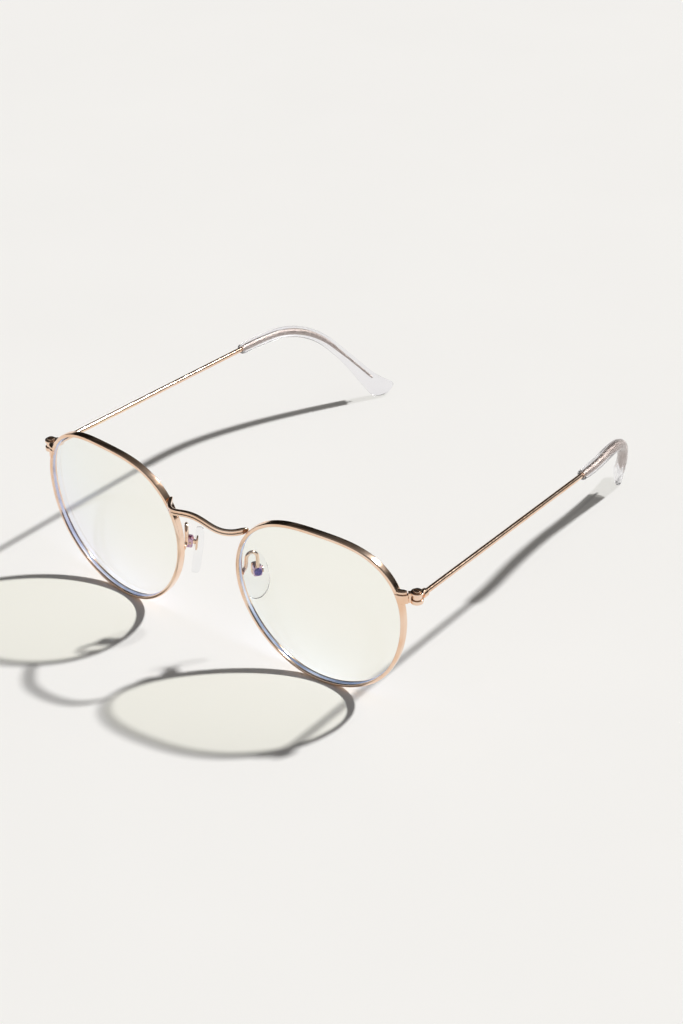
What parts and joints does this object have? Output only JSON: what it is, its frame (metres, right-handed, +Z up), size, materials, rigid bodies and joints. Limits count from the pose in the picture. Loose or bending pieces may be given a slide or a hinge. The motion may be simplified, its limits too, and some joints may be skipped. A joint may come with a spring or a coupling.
{
  "type": "glasses",
  "caption": "Round thin-wire glasses with clear blue-light lenses, slim arched bridge, rocking nose pads and folding temples with clear ear tips.",
  "frame": {"origin": "middle of the overall box at table level, with the temples open and the glasses standing on their rims and ear tips", "axes": "+X to the wearer's left, -Y the way the glasses look, +Z up"},
  "size_m": [0.129, 0.148, 0.0494],
  "materials": {
    "rose_gold": "polished rose gold plating",
    "lens": "clear with a faint yellow cast and a blue anti-reflection coat",
    "clear_tip": "glossy clear acetate",
    "silicone": "translucent silicone",
    "screw_steel": "plated screw"
  },
  "bodies": {
    "front": {"bridge": "rose_gold", "rim_left": "rose_gold", "rim_right": "rose_gold", "lens_left": "lens", "lens_right": "lens", "block_lower_left": "rose_gold", "block_lower_right": "rose_gold", "block_upper_left": "rose_gold", "block_upper_right": "rose_gold", "rim_screw_left": "screw_steel", "rim_screw_right": "screw_steel", "hinge_screw_left": "screw_steel", "hinge_screw_right": "screw_steel", "pad_arm_left": "rose_gold", "pad_arm_right": "rose_gold", "pad_box_left": "rose_gold", "pad_box_right": "rose_gold", "pad_screw_left": "screw_steel", "pad_screw_right": "screw_steel"},
    "temple_left": {"temple_hinge_left": "rose_gold", "temple_wire_left": "rose_gold", "temple_tip_left": "clear_tip"},
    "pad_left": {"nose_pad_left": "silicone", "pad_insert_left": "rose_gold"},
    "temple_right": {"temple_hinge_right": "rose_gold", "temple_wire_right": "rose_gold", "temple_tip_right": "clear_tip"},
    "pad_right": {"nose_pad_right": "silicone", "pad_insert_right": "rose_gold"}
  },
  "joints": [
    {"name": "temple_fold_left", "type": "hinge", "parent": "front", "child": "temple_left", "pos_m": [0.0628, -0.06071, 0.03655], "axis": [0, 0, 1], "range_deg": [0, 83]},
    {"name": "temple_fold_right", "type": "hinge", "parent": "front", "child": "temple_right", "pos_m": [-0.0628, -0.06071, 0.03655], "axis": [0, 0, -1], "range_deg": [0, 72]},
    {"name": "pad_rock_left", "type": "hinge", "parent": "front", "child": "pad_left", "pos_m": [0.0116, -0.06191, 0.02535], "axis": [-0.5878, -0.809, 0], "range_deg": [-8, 8]},
    {"name": "pad_rock_right", "type": "hinge", "parent": "front", "child": "pad_right", "pos_m": [-0.0116, -0.06191, 0.02535], "axis": [-0.5878, 0.809, 0], "range_deg": [-8, 8]}
  ]
}
